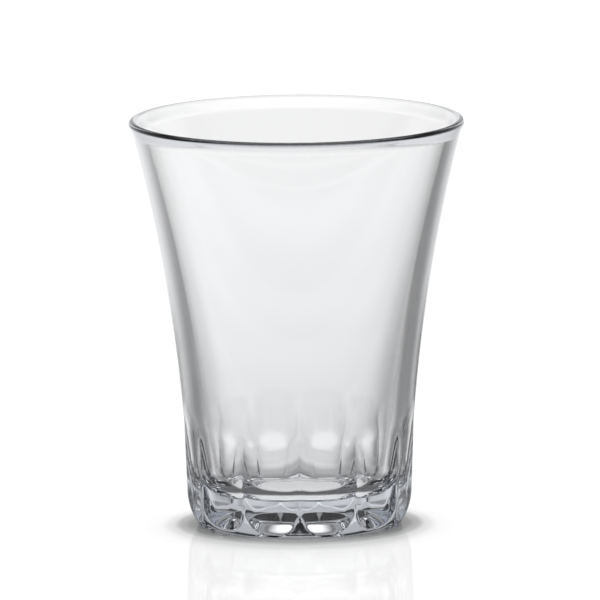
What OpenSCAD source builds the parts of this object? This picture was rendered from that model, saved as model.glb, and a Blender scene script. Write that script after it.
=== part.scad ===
// Small pressed cortado glass: a flared wall with a beaded rim on a thick fluted foot.
// The glass stands on the XY plane with its axis on Z. All lengths are in millimetres.

/* [Overall] */
// Height from the table to the crest of the rim
height = 82; // [74:0.5:96]
// Diameter over the rim bead
rim_d = 67.2; // [63:0.2:74]
// Radius of the curve that flares both faces of the wall
flare_r = 333; // [240:1:600]

/* [Rim] */
// Thickness of the round bead along the rim
bead_d = 1.9; // [1.5:0.1:2.2]
// How far the bead stands out from both faces of the wall
bead_proud = 0.25; // [0.1:0.05:0.5]
// Depth of the bevel inside the lip, below the crest
lip_h = 2.4; // [2:0.1:4]

/* [Wall] */
// Wall thickness at the foot of the lip bevel
wall_top = 2.3; // [2:0.1:3]
// Wall thickness at the floor
wall_foot = 5; // [3.5:0.1:6]
// Thickness of the base under the floor
base_t = 7.2; // [5.5:0.1:10]
// Radius of the rounding between the floor and the wall
floor_fillet = 6; // [2:0.5:8]

/* [Foot] */
// Diameter of the foot band just above the heel
foot_d = 45; // [41:0.1:52]
// Height of the foot band, where the flare starts
foot_h = 21; // [18:0.5:26]
// How much the radius of the foot band grows from the heel to its top
foot_growth = 0.55; // [0.2:0.05:1]
// Height of the heel, the curve below the foot band
heel_h = 7; // [4:0.5:9]
// Radius of the heel's curve
heel_r = 12; // [10:0.5:20]
// Rounding where the heel meets the table
heel_edge_r = 1.2; // [0.4:0.1:2]
// Width of the ring on which the glass rests
ring_w = 6.6; // [4:0.1:8]
// Depth of the hollow inside that ring
hollow_h = 2.3; // [1:0.1:3]
// Width of the sloping side around the hollow's flat top
hollow_side_w = 3.7; // [2:0.1:5]

/* [Flutes] */
// Number of flutes around the foot
flute_count = 12; // [10:1:14]
// Height of the flutes' round tops
flute_h = 25; // [22:0.5:36]
// Depth of a flute's bed below the foot band, at the table
flute_depth = 1.75; // [1.2:0.05:2.4]
// Radius of a flute's hollow, measured across it
flute_r = 32; // [20:1:50]

/* [Hidden] */
$fn = 96;
// Overrun of every cut past the face that it opens
over = 1;
// How far a rounding's circle reaches past the faces that it joins, so that their outlines cross
bite = 0.005;
rim_r = rim_d / 2;
bead_r = bead_d / 2;
bead_at = [rim_r - bead_r, height - bead_r];
lip_z = height - lip_h;
foot_r = foot_d / 2;
foot_top = [foot_r + foot_growth, foot_h];
// The outer flare runs from the foot band to the side of the bead
flare_at = arc_centre(foot_top, [rim_r - bead_proud, bead_at[1]], flare_r);
// The inner flare runs from the floor to the lip bevel
lip_at = [arc_radius(flare_at, lip_z) - wall_top, lip_z];
inner_at = arc_centre([foot_r - wall_foot, base_t], lip_at, flare_r);
lip_end = [rim_r - bead_d + bead_proud, bead_at[1]];
lip_low = 2 * lip_at - lip_end;
// The floor's rounding touches the floor and the inner flare
fillet_z = base_t + floor_fillet;
fillet_at = [inner_at[0] - leg(flare_r + floor_fillet, inner_at[1] - fillet_z), fillet_z];
fillet_touch = fillet_at + (inner_at - fillet_at) * floor_fillet / (flare_r + floor_fillet);
// The heel is an arc that leaves the foot band upright, and a small rounding ends it on the table
heel_at = [foot_r - heel_r, heel_h];
edge_at = [heel_at[0] + leg(heel_r - heel_edge_r, heel_h - heel_edge_r), heel_edge_r];
edge_touch = heel_at + (edge_at - heel_at) * heel_r / (heel_r - heel_edge_r);
// The hollow under the base is a flat-topped cone, open as far as the resting ring
hollow_edge = edge_at[0] - ring_w;
hollow_top = [hollow_edge - hollow_side_w, hollow_h];
hollow_mouth = [hollow_edge + over * hollow_side_w / hollow_h, -over];
// Each flute is cut as by a grinding wheel that stands upright on the radius of the glass
flute_bed_r = foot_r - flute_depth;
flute_rise = arc_radius(flare_at, flute_h) - flute_bed_r;
wheel_r = (flute_h * flute_h + flute_rise * flute_rise) / (2 * flute_rise);

// Other leg of a right triangle, from its long side and one leg
function leg(long, other) = sqrt(long * long - other * other);

// Centre of the arc of radius r through two points of the profile, outside the glass
function arc_centre(low, high, r) =
    let (chord = high - low)
    let (span = norm(chord))
    (low + high) / 2 + [chord[1], -chord[0]] * leg(r, span / 2) / span;

// Radius of the glass at height z on the arc of radius flare_r around a centre
function arc_radius(centre, z) = centre[0] - leg(flare_r, z - centre[1]);

// Half section inside the outer face, up to the middle of the bead
module outer_section() {
    difference() {
        union() {
            difference() {
                square([rim_r, bead_at[1]]);
                translate(flare_at)
                    circle(r = flare_r);
            }
            polygon([[0, 0], [foot_r, 0], [foot_r, heel_h], foot_top, [0, foot_h]]);
        }
        heel_cut();
        heel_edge_cut();
        polygon([[0, hollow_mouth[1]], hollow_mouth, hollow_top, [0, hollow_h]]);
    }
}

// What the heel's arc takes off the lower corner of the foot
module heel_cut() {
    difference() {
        translate([heel_at[0], -over])
            square([heel_r + over, heel_h + over]);
        translate(heel_at)
            circle(r = heel_r);
    }
}

// What the small rounding takes off the edge between the heel and the table
module heel_edge_cut() {
    difference() {
        polygon([edge_at, [edge_at[0], -over], [foot_r, -over], [foot_r, edge_touch[1]], edge_touch]);
        translate(edge_at)
            circle(r = heel_edge_r + bite);
    }
}

// Half section of the space inside the glass
module inner_section() {
    difference() {
        translate([0, base_t])
            square([rim_r, height - base_t]);
        translate(inner_at)
            circle(r = flare_r);
        floor_corner();
    }
    polygon([[0, lip_low[1]], lip_low, lip_end, [lip_end[0], height], [0, height]]);
}

// What the rounding leaves standing in the corner between the floor and the wall
module floor_corner() {
    difference() {
        polygon([fillet_at, [fillet_at[0], base_t - over], [foot_r, base_t - over], [foot_r, fillet_z], fillet_touch]);
        translate(fillet_at)
            circle(r = floor_fillet + bite);
    }
}

// The grinding wheel of one flute, at the side of the glass that faces +X
module flute_wheel() {
    translate([flute_bed_r + wheel_r, 0, 0])
        rotate([90, 0, 0])
            rotate_extrude()
                translate([wheel_r - flute_r, 0])
                    circle(r = flute_r);
}

// The one piece of pressed glass
module tumbler() {
    color("lightcyan", 0.5)
        difference() {
            rotate_extrude() {
                difference() {
                    outer_section();
                    inner_section();
                }
                translate(bead_at)
                    circle(r = bead_r);
            }
            for (i = [0:flute_count - 1])
                rotate([0, 0, 360 / flute_count * (i + 0.5) - 90])
                    flute_wheel();
        }
}

tumbler();
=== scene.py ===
import math

import bpy
import numpy as np
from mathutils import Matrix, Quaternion, Vector


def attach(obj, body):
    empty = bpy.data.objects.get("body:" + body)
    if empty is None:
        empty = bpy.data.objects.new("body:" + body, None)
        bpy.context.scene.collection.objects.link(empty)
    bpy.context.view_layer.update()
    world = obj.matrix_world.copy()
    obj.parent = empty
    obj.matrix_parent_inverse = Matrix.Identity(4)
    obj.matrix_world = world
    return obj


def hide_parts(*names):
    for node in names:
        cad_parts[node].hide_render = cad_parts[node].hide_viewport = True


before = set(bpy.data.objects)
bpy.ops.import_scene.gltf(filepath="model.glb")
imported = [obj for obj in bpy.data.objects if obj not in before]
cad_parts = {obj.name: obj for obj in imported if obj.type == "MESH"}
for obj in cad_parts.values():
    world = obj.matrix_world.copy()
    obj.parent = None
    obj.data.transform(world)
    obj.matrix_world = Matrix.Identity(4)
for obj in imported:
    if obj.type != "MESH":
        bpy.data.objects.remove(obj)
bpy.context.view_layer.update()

# Camera: a long lens about 9 degrees above the table, level with the middle of the glass.
# The picture was cut out of a wider frame, so the lens is shifted a little.
VIEW_DISTANCE = 2.6
VIEW_ABOVE = math.radians(9.37)
VIEW_ROLL = math.radians(-0.5)
AIM = Vector((0, 0, 0.041))
PIXELS_PER_METRE = 4990
PICTURE_WIDTH = 600
SENSOR_WIDTH = 36
LENS_SHIFT = (0.0032, 0.0345)
FARTHEST_SEEN = 100

lens = bpy.data.cameras.new("camera")
lens.sensor_width = SENSOR_WIDTH
lens.lens = PIXELS_PER_METRE * VIEW_DISTANCE * SENSOR_WIDTH / PICTURE_WIDTH
lens.shift_x, lens.shift_y = LENS_SHIFT
lens.clip_end = FARTHEST_SEEN
camera = bpy.data.objects.new("camera", lens)
bpy.context.scene.collection.objects.link(camera)
bpy.context.scene.camera = camera
backwards = Vector((0, -math.cos(VIEW_ABOVE), math.sin(VIEW_ABOVE)))
camera.location = AIM + backwards * VIEW_DISTANCE
camera.rotation_mode = "QUATERNION"
level = (-backwards).to_track_quat("-Z", "Y")
camera.rotation_quaternion = level @ Quaternion((0, 0, 1), VIEW_ROLL)

# Tumbler: one gob of clear soda-lime glass, pressed between a fluted mould and a plain plunger.
# Its rim is fire-polished to a round bead, and a thick base carries the flared wall.
# It stands on the ring around the hollow under its base. Its sizes are in millimetres.
MM = 0.001
HEIGHT = 82.0
RIM_R = 33.6
FLARE_R = 333.0
BEAD_R = 0.86
BEAD_PROUD = 0.25
SWELL_H = 1.3
LIP_H = 2.4
LIP_ROUND = 0.5
LIP_TURN = math.radians(150)
LIP_PULL = 0.4
WALL_TOP = 2.3
WALL_FOOT = 5.0
BASE_T = 7.2
FLOOR_FILLET = 6.0
FOOT_R = 22.5
FOOT_H = 21.0
FOOT_GROWTH = 0.55
HEEL_H = 7.0
HEEL_R = 12.0
HEEL_EDGE_R = 1.2
RING_W = 6.6
HOLLOW_H = 2.3
HOLLOW_TOP_R = 9.3
HOLLOW_ROUND = 1.0
FLUTES = 12
FLUTE_H = 24.5
FLUTE_ARCH = 2.2
RUN_OUT = 5.0
HEEL_DEPTH = 1.4
BED_LEAN = 0.13
FLUTE_MARGIN = 1.0

# The steps that each stretch of the section is drawn in, and the spin
FLAT_STEPS = 7
CORNER_STEPS = 8
RING_STEPS = 3
HEEL_STEPS = 16
FOOT_STEPS = 35
FLUTE_TOP_STEPS = 14
WALL_STEPS = 59
BEAD_STEPS = 28
LIP_STEPS = 18
INNER_STEPS = 55
FILLET_STEPS = 18
AROUND = 336
MERGED_WITHIN = 0.002
ON_AXIS = 1e-6


def leg(long, other):
    """The other short side of a right triangle."""
    return math.sqrt(long * long - other * other)


def arc_centre(low, high, radius):
    """Centre of the arc through two points of the section, outside the glass."""
    low, high = Vector(low), Vector(high)
    chord = high - low
    out = Vector((chord.y, -chord.x)).normalized()
    return (low + high) / 2 + out * leg(radius, chord.length / 2)


def flare(centre, z):
    """Radius of a flared face of the wall at a height."""
    return centre.x - leg(FLARE_R, z - centre.y)


def flare_slope(centre, z):
    """Radius that a flared face gains there for each millimetre of height."""
    return (z - centre.y) / leg(FLARE_R, z - centre.y)


def along(start, end, steps):
    """Values from start to end in equal steps, without the first one."""
    return np.linspace(start, end, steps + 1)[1:].tolist()


def arc(centre, radius, start, end, steps):
    """Points along an arc of the section, without its first one; angles in radians."""
    return [Vector((centre.x + radius * math.cos(a), centre.y + radius * math.sin(a)))
            for a in along(start, end, steps)]


def rounded(start, corner, end, steps):
    """Points along the rounding of a corner of the section, without its first one."""
    return [(1 - t) ** 2 * start + 2 * t * (1 - t) * corner + t * t * end
            for t in along(0, 1, steps)]


def angle_from(centre, point):
    """Direction of a point of the section as seen from a centre."""
    return math.atan2(point.y - centre.y, point.x - centre.x)


# Centres and ends of the bead, the wall's two flares, the fillet, the heel and the hollow
bead_at = Vector((RIM_R - BEAD_R, HEIGHT - BEAD_R))
lip_z = HEIGHT - LIP_H
outer_at = arc_centre((FOOT_R + FOOT_GROWTH, FOOT_H), (RIM_R - BEAD_PROUD, bead_at.y), FLARE_R)
lip_at = Vector((flare(outer_at, lip_z) - WALL_TOP, lip_z))
inner_at = arc_centre((FOOT_R - WALL_FOOT, BASE_T), lip_at, FLARE_R)
fillet_reach = leg(FLARE_R + FLOOR_FILLET, inner_at.y - BASE_T - FLOOR_FILLET)
fillet_at = Vector((inner_at.x - fillet_reach, BASE_T + FLOOR_FILLET))
fillet_touch = fillet_at + (inner_at - fillet_at).normalized() * FLOOR_FILLET
heel_at = Vector((FOOT_R - HEEL_R, HEEL_H))
edge_reach = leg(HEEL_R - HEEL_EDGE_R, HEEL_H - HEEL_EDGE_R)
edge_at = Vector((heel_at.x + edge_reach, HEEL_EDGE_R))
edge_turn = angle_from(heel_at, edge_at)
hollow_edge = edge_at.x - RING_W
hollow_top, hollow_foot = Vector((HOLLOW_TOP_R, HOLLOW_H)), Vector((hollow_edge, 0))
hollow_side = (hollow_foot - hollow_top).normalized() * HOLLOW_ROUND
flat = Vector((HOLLOW_ROUND, 0))
flutes_end = FLUTE_H + FLUTE_MARGIN

# The section, from the middle of the hollow underneath, over the ring and the heel, up to the bead
section = [Vector((0, HOLLOW_H))]
section += [Vector((r, HOLLOW_H)) for r in along(0, HOLLOW_TOP_R - HOLLOW_ROUND, FLAT_STEPS)]
section += rounded(hollow_top - flat, hollow_top, hollow_top + hollow_side, CORNER_STEPS)
section.append(hollow_foot - hollow_side)
section += rounded(hollow_foot - hollow_side, hollow_foot, hollow_foot + flat, CORNER_STEPS)
section += [Vector((r, 0)) for r in along(hollow_edge + HOLLOW_ROUND, edge_at.x, RING_STEPS)]
section += arc(edge_at, HEEL_EDGE_R, -math.pi / 2, edge_turn, CORNER_STEPS)
section += arc(heel_at, HEEL_R, edge_turn, 0, HEEL_STEPS)
section += [Vector((FOOT_R + FOOT_GROWTH * t, HEEL_H + (FOOT_H - HEEL_H) * t))
            for t in along(0, 1, FOOT_STEPS)]
section += [Vector((flare(outer_at, z), z)) for z in along(FOOT_H, flutes_end, FLUTE_TOP_STEPS)]
bead_turn = math.atan(flare_slope(outer_at, bead_at.y))
bead_low = bead_at + BEAD_R * Vector((math.cos(bead_turn), -math.sin(bead_turn)))
swell = bead_low.x - flare(outer_at, bead_low.y)
for z in along(flutes_end, bead_low.y, WALL_STEPS):
    t = max(0, 1 - (bead_low.y - z) / SWELL_H)
    section.append(Vector((flare(outer_at, z) + swell * t * t * (3 - 2 * t), z)))
section += arc(bead_at, BEAD_R, -bead_turn, LIP_TURN, BEAD_STEPS)

# Then over the lip and down the inside to the middle of the floor
lip_run = Vector((-math.sin(LIP_TURN), math.cos(LIP_TURN)))
lip_foot = Vector((flare(inner_at, lip_z - LIP_ROUND), lip_z - LIP_ROUND))
wall_run = Vector((-flare_slope(inner_at, lip_foot.y), -1)).normalized()
lip_head = section[-1]
pull = LIP_PULL * (lip_foot - lip_head).length
lip_near, lip_far = lip_head + pull * lip_run, lip_foot - pull * wall_run
for t in along(0, 1, LIP_STEPS):
    section.append((1 - t) ** 3 * lip_head + 3 * t * (1 - t) ** 2 * lip_near
                   + 3 * t * t * (1 - t) * lip_far + t ** 3 * lip_foot)
section += [Vector((flare(inner_at, z), z)) for z in along(lip_foot.y, fillet_touch.y, INNER_STEPS)]
fillet_turn = angle_from(fillet_at, fillet_touch)
section += arc(fillet_at, FLOOR_FILLET, fillet_turn, -math.pi / 2, FILLET_STEPS)
section += [Vector((fillet_at.x * t, BASE_T)) for t in along(1, 0, FLAT_STEPS)]

# One point is drawn out along the section and then spun round the axis
bpy.ops.object.select_all(action="DESELECT")
bpy.ops.mesh.primitive_plane_add(size=2 * MM, location=(0, 0, 0))
tumbler = bpy.context.object
tumbler.name = tumbler.data.name = "pressed_tumbler"
bpy.ops.object.mode_set(mode="EDIT")
bpy.ops.mesh.select_all(action="SELECT")
bpy.ops.mesh.merge(type="CENTER")
bpy.ops.transform.translate(value=(0, -section[0].x * MM, section[0].y * MM))
for here, there in zip(section, section[1:]):
    step = (there - here) * MM
    bpy.ops.mesh.extrude_region_move(TRANSFORM_OT_translate={"value": (0, -step.x, step.y)})
bpy.ops.mesh.select_all(action="SELECT")
bpy.ops.mesh.spin(steps=AROUND, angle=2 * math.pi, center=(0, 0, 0), axis=(0, 0, 1))
bpy.ops.mesh.select_all(action="SELECT")
bpy.ops.mesh.remove_doubles(threshold=MERGED_WITHIN * MM)
bpy.ops.mesh.normals_make_consistent(inside=False)
bpy.ops.object.mode_set(mode="OBJECT")


def ease(value, low, high):
    """A value that goes smoothly from 0 at low to 1 at high."""
    t = np.clip((value - low) / (high - low), 0, 1)
    return t * t * (3 - 2 * t)


# The flutes: each point of the foot's outer face goes in as far as the bed of its flute.
# A bed is upright in the heel, leans out above it and runs out in an arch.
places = np.empty(len(tumbler.data.vertices) * 3)
tumbler.data.vertices.foreach_get("co", places)
places = places.reshape(-1, 3) / MM
radius = np.hypot(places[:, 0], places[:, 1])
height = places[:, 2]
half_pitch = math.pi / FLUTES
turn = np.arctan2(places[:, 0], -places[:, 1])
from_ridge = np.abs((turn + half_pitch) % (2 * half_pitch) - half_pitch)
off_middle = (half_pitch - from_ridge) / half_pitch
ridge = np.maximum(radius, FOOT_R)
bed_middle = FOOT_R - HEEL_DEPTH + BED_LEAN * np.maximum(height - HEEL_H, 0)
arch = FLUTE_H - FLUTE_ARCH * off_middle ** 2
depth = np.maximum(ridge - bed_middle, 0) * (1 - ease(height, arch - RUN_OUT, arch))
bed = ridge - depth * (1 - off_middle ** 3)
places[:, :2] *= (np.minimum(radius, bed) / np.maximum(radius, ON_AXIS))[:, None]
tumbler.data.vertices.foreach_set("co", (places * MM).ravel())
tumbler.data.update()
bpy.ops.object.shade_smooth()


def worked_out(tree, operation, *values):
    """Result of a Math node whose inputs are numbers or other nodes' results."""
    node = tree.nodes.new("ShaderNodeMath")
    node.operation = operation
    for socket, value in zip(node.inputs, values):
        if isinstance(value, (int, float)):
            socket.default_value = value
        else:
            tree.links.new(value, socket)
    return node.outputs[0]


def eased(tree, value, start, end, low, high):
    """A value that goes smoothly from low to high between start and end."""
    node = tree.nodes.new("ShaderNodeMapRange")
    node.interpolation_type = "SMOOTHSTEP"
    tree.links.new(value, node.inputs["Value"])
    for name, number in (("From Min", start), ("From Max", end), ("To Min", low), ("To Max", high)):
        node.inputs[name].default_value = number
    return node.outputs[0]


GLASS_INDEX = 1.52
GLASS_TINT = (0.893, 0.902, 0.918, 1)
TINT_DENSITY = 100
WAVE_SCALE, WAVE_DETAIL, WAVE_DEPTH = 95, 1, 0.02
WAVES_CALM = (0.004, 0.022)
CALM_SHARE = 0.5
GRAIN_SCALE, GRAIN_DETAIL, GRAIN_ROUGHNESS = 900, 3, 0.01
GRAIN_SHOWS = (0.55, 0.75)
# The glass's painted glow: the bounces followed, the heights where it starts, and its strength
BOUNCES_FOLLOWED = 3.5
PAINTED_GLOW_STARTS = (0.03, 0.05)
PAINTED_RIM_GLOW = 0.45

glass = bpy.data.materials.new("clear_pressed_glass")
glass.use_nodes = True
tree = glass.node_tree
clear = tree.nodes["Principled BSDF"]
clear.inputs["Base Color"].default_value = (1, 1, 1, 1)
clear.inputs["IOR"].default_value = GLASS_INDEX
clear.inputs["Transmission Weight"].default_value = 1.0

# The press leaves the skin a little wavy, most of all low down,
# where the glass was thick and cooled last
place = tree.nodes.new("ShaderNodeTexCoord").outputs["Object"]
split = tree.nodes.new("ShaderNodeSeparateXYZ")
tree.links.new(place, split.inputs[0])
waves, grain = tree.nodes.new("ShaderNodeTexNoise"), tree.nodes.new("ShaderNodeTexNoise")
for noise, scale, detail in ((waves, WAVE_SCALE, WAVE_DETAIL), (grain, GRAIN_SCALE, GRAIN_DETAIL)):
    tree.links.new(place, noise.inputs["Vector"])
    noise.inputs["Scale"].default_value = scale
    noise.inputs["Detail"].default_value = detail
low_down = eased(tree, split.outputs["Z"], *WAVES_CALM, 1, CALM_SHARE)
skin = tree.nodes.new("ShaderNodeBump")
skin.inputs["Distance"].default_value = WAVE_DEPTH * MM
tree.links.new(worked_out(tree, "MULTIPLY", waves.outputs[0], low_down), skin.inputs["Height"])
tree.links.new(skin.outputs[0], clear.inputs["Normal"])
dulled = eased(tree, grain.outputs[0], *GRAIN_SHOWS, 0, GRAIN_ROUGHNESS)
tree.links.new(dulled, clear.inputs["Roughness"])

# Painted glow: what goes round in the upper wall for longer than it is followed is given a dim grey
# emission, painted light that stands in for the light it would bring out
ray = tree.nodes.new("ShaderNodeLightPath")
caught = worked_out(tree, "GREATER_THAN", ray.outputs["Glossy Depth"], BOUNCES_FOLLOWED)
painted_rim_glow = eased(tree, split.outputs["Z"], *PAINTED_GLOW_STARTS, 0, PAINTED_RIM_GLOW)
tree.links.new(worked_out(tree, "MULTIPLY", caught, painted_rim_glow), clear.inputs["Emission Color"])
clear.inputs["Emission Strength"].default_value = 1.0

body_tint = tree.nodes.new("ShaderNodeVolumeAbsorption")
body_tint.inputs["Color"].default_value = GLASS_TINT
body_tint.inputs["Density"].default_value = TINT_DENSITY
tree.links.new(body_tint.outputs["Volume"], tree.nodes["Material Output"].inputs["Volume"])
tumbler.data.materials.append(glass)
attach(tumbler, "root")
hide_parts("tumbler")

# Table: a wide sheet of pale acrylic, polished so that it mirrors the glass that stands on it.
# The camera sees it white but for a shadow painted round the foot. Seen through the glass it
# glows with painted light, brighter further out, with a painted dark ring under the ring the glass
# stands on, and behind the glass painted shade in two sectors.
TABLE_SIZE = 6
TABLE_BELOW = 0.2
TABLE_PALE = 0.25
TABLE_ROUGHNESS = 0.06
TABLE_GLOSS = 0.04
# The sectors, their turn and sharpness, where they start behind the glass and how much deeper the
# right one is: painted shade; SHADOW_NEARER moves the painted shadow towards the camera
SECTORS = 4
SECTOR_TURN = math.radians(4.5)
SECTOR_SHARPNESS = 1.5
BEHIND = (-0.03, 0.01)
TO_THE_RIGHT = (0.02, 0.08)
RIGHT_DEEPER = 1.5
SHADOW_NEARER = 0.0035
# Rows of stops: a distance from the glass's axis in metres, and the value there
# BRIGHTNESS is painted light and shade seen through the glass, with a painted dark ring under the
# ring the glass stands on; SECTOR_FALL is the depth of the painted shade in the sectors
BRIGHTNESS = ((0.0135, 0.78), (0.0155, 0.04), (0.0205, 0.04), (0.031, 0.22), (0.042, 0.52),
              (0.06, 0.52), (0.09, 0.53), (0.12, 0.61), (0.175, 0.675), (0.23, 0.735),
              (0.33, 0.80), (0.5, 0.76))
SECTOR_FALL = ((0.025, 0), (0.05, 0.50), (0.10, 0.55), (0.16, 0.58), (0.28, 0.58), (0.7, 0.2))
# SHADOW and SIDE_SHADOW paint the shadow that the camera sees round the foot
SHADOW = ((0.017, 0.23), (0.0232, 0.50), (0.0293, 0.67), (0.033, 0.70))
SIDE_SHADOW = ((0.0215, 0.9), (0.0235, 0.65), (0.0255, 0.15), (0.028, 0))

bpy.ops.object.select_all(action="DESELECT")
bpy.ops.mesh.primitive_plane_add(size=TABLE_SIZE, location=(0, 0, -TABLE_BELOW * MM))
table = bpy.context.object
table.name = "table"
acrylic = bpy.data.materials.new("pale_acrylic")
acrylic.use_nodes = True
tree = acrylic.node_tree
sheet = tree.nodes["Principled BSDF"]
sheet.inputs["Base Color"].default_value = (TABLE_PALE,) * 3 + (1,)
sheet.inputs["Roughness"].default_value = TABLE_ROUGHNESS
sheet.inputs["Specular IOR Level"].default_value = TABLE_GLOSS
sheet.inputs["Emission Color"].default_value = (1, 1, 1, 1)


def graded(tree, value, stops):
    """A value read off a row of stops, each the distance it stands at and the value there."""
    reach = stops[-1][0]
    ramp = tree.nodes.new("ShaderNodeValToRGB")
    tree.links.new(worked_out(tree, "DIVIDE", value, reach), ramp.inputs[0])
    row = ramp.color_ramp
    row.interpolation = "EASE"
    while len(row.elements) < len(stops):
        row.elements.new(1)
    for element, (distance, number) in zip(row.elements, stops):
        element.position = distance / reach
        element.color = (number, number, number, 1)
    return ramp.outputs["Color"]


def distance_of(tree, x, y):
    """Distance of a place on the table from the origin."""
    squares = [worked_out(tree, "POWER", value, 2) for value in (x, y)]
    return worked_out(tree, "SQRT", worked_out(tree, "ADD", *squares))


split = tree.nodes.new("ShaderNodeSeparateXYZ")
tree.links.new(tree.nodes.new("ShaderNodeTexCoord").outputs["Object"], split.inputs[0])
x, y = split.outputs["X"], split.outputs["Y"]
away = distance_of(tree, x, y)
ray = tree.nodes.new("ShaderNodeLightPath")

# Seen through the glass: painted light by distance, less the painted shade of the two sectors
# behind, of which the right one is deeper
around = worked_out(tree, "ADD", worked_out(tree, "ARCTAN2", x, y), SECTOR_TURN)
wave = worked_out(tree, "COSINE", worked_out(tree, "MULTIPLY", around, SECTORS))
sectors = worked_out(tree, "MULTIPLY_ADD", wave, -0.5, 0.5)
sectors = worked_out(tree, "POWER", sectors, SECTOR_SHARPNESS)
sectors = worked_out(tree, "MULTIPLY", sectors, eased(tree, y, *BEHIND, 0, 1))
fall = graded(tree, away, SECTOR_FALL)
fall = worked_out(tree, "MULTIPLY", fall, eased(tree, x, *TO_THE_RIGHT, 1, RIGHT_DEEPER))
painted_light = graded(tree, away, BRIGHTNESS)
painted_light = worked_out(tree, "SUBTRACT", painted_light, worked_out(tree, "MULTIPLY", sectors, fall))
painted_light = worked_out(tree, "MAXIMUM", painted_light, 0)
through = worked_out(tree, "MAXIMUM", ray.outputs["Is Transmission Ray"],
                     ray.outputs["Is Glossy Ray"])
seen_through = worked_out(tree, "MULTIPLY", through, painted_light)

# Seen by the camera: white out of a painted shadow, which is deeper close to both sides of the foot
shade = distance_of(tree, x, worked_out(tree, "ADD", y, SHADOW_NEARER))
white = graded(tree, shade, SHADOW)
sideways = worked_out(tree, "POWER", worked_out(tree, "DIVIDE", x, away), 2)
painted_side_shadow = worked_out(tree, "MULTIPLY", sideways, graded(tree, away, SIDE_SHADOW))
white = worked_out(tree, "MULTIPLY", white, worked_out(tree, "SUBTRACT", 1, painted_side_shadow))
white = worked_out(tree, "MULTIPLY", ray.outputs["Is Camera Ray"], white)
tree.links.new(worked_out(tree, "ADD", white, seen_through), sheet.inputs["Emission Strength"])
table.data.materials.append(acrylic)

# Studio: a dim room with a pale horizon, a dark gap above it and grey walls, and one wide
# soft light overhead. The camera and the table's polish see its backdrop, which is white.
HORIZON = 0.88
GAP = 0.02
WALLS = 0.46
ROOM = 0.13
OVERHEAD = 1.85
OVERHEAD_STARTS = (0.60, 0.80)
BACKDROP_ENDS = (0.2, 0.35)
# Stops by height of the direction, as above: from 0 at the horizon to 1 straight up
WALL_STOPS = ((0.14, HORIZON), (0.165, GAP), (0.193, GAP),
              (0.22, WALLS), (0.50, WALLS), (0.60, ROOM))

world = bpy.data.worlds.new("studio")
bpy.context.scene.world = world
world.use_nodes = True
tree = world.node_tree
tree.nodes.clear()
split = tree.nodes.new("ShaderNodeSeparateXYZ")
tree.links.new(tree.nodes.new("ShaderNodeTexCoord").outputs["Generated"], split.inputs[0])
up = split.outputs["Z"]
walls = graded(tree, up, WALL_STOPS)
room = worked_out(tree, "ADD", walls, eased(tree, up, *OVERHEAD_STARTS, 0, OVERHEAD))
ray = tree.nodes.new("ShaderNodeLightPath")
mirrored = worked_out(tree, "SUBTRACT", ray.outputs["Is Glossy Ray"],
                      ray.outputs["Transmission Depth"])
mirrored = worked_out(tree, "MULTIPLY", mirrored, eased(tree, up, *BACKDROP_ENDS, 1, 0))
backdrop = worked_out(tree, "MAXIMUM", ray.outputs["Is Camera Ray"], mirrored)
light = tree.nodes.new("ShaderNodeBackground")
tree.links.new(worked_out(tree, "MAXIMUM", room, backdrop), light.inputs["Strength"])
out = tree.nodes.new("ShaderNodeOutputWorld")
tree.links.new(light.outputs[0], out.inputs[0])
bpy.context.scene.view_settings.view_transform = "Standard"
